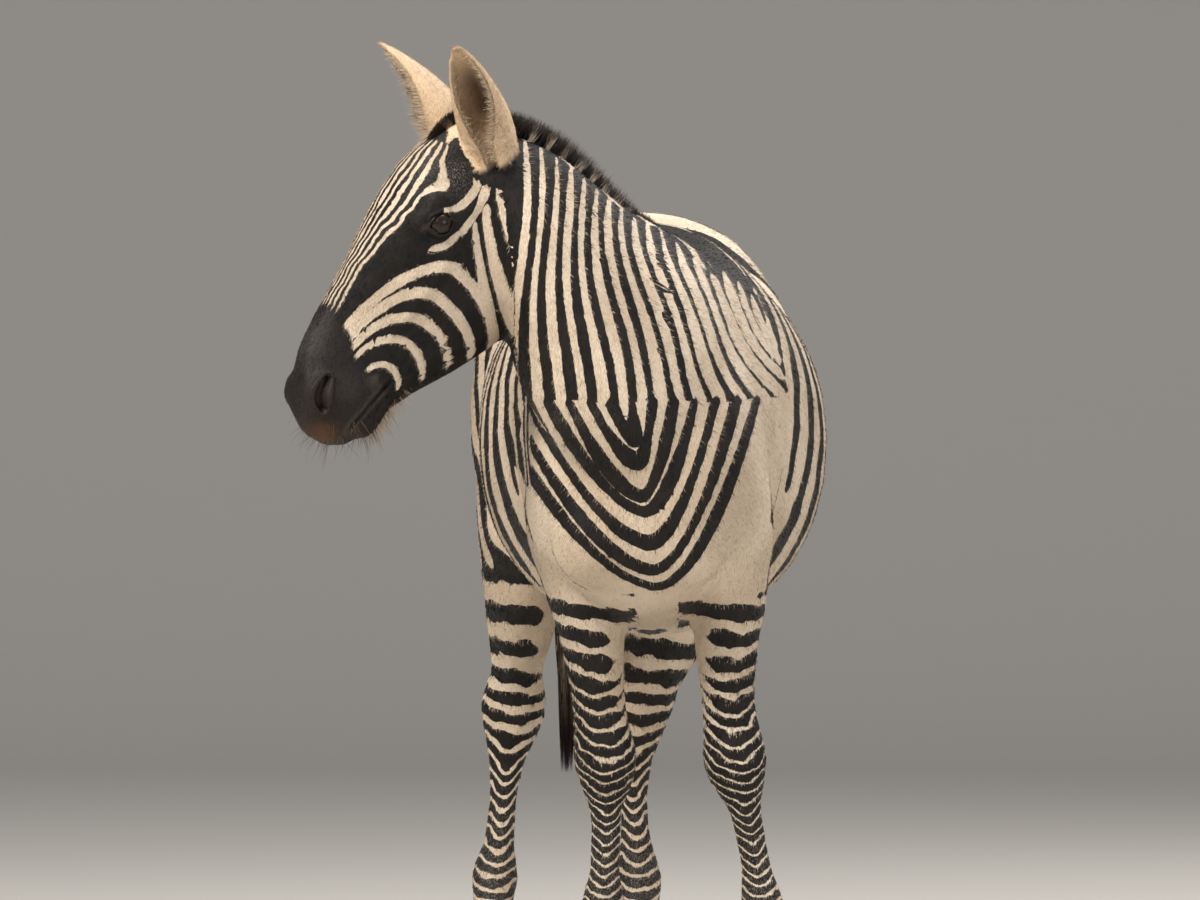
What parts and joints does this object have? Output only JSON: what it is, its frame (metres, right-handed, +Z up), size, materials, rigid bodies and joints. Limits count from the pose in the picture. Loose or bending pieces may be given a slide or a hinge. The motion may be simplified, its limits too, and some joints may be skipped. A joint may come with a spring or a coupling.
{
  "type": "standing plains zebra model",
  "caption": "Life-size still zebra standing on four hooves with its head turned to its right, for display.",
  "frame": {"origin": "on the floor, under the middle of the whole animal's box", "axes": "+Z up; the animal faces -Y with its chest, so its left side is +X; the head is turned to its right, towards -X"},
  "size_m": [0.8808, 1.6052, 1.5832],
  "materials": {
    "hide": "short flat striped hair",
    "long_hair": "coarse upright hair",
    "hoof_horn": "worn dark horn",
    "eye": "wet, dark brown"
  },
  "bodies": {
    "root": {"trunk": "hide", "neck": "hide", "head": "hide", "tail": "hide", "ear_left": "hide", "ear_right": "hide", "mane": "long_hair", "tail_tuft": "long_hair", "eye_left": "eye", "eye_right": "eye", "leg_fore_left_upper": "hide", "leg_fore_left_lower": "hide", "hoof_fore_left": "hoof_horn", "leg_fore_right_upper": "hide", "leg_fore_right_lower": "hide", "hoof_fore_right": "hoof_horn", "leg_hind_left_upper": "hide", "leg_hind_left_lower": "hide", "hoof_hind_left": "hoof_horn", "leg_hind_right_upper": "hide", "leg_hind_right_lower": "hide", "hoof_hind_right": "hoof_horn"}
  },
  "joints": []
}
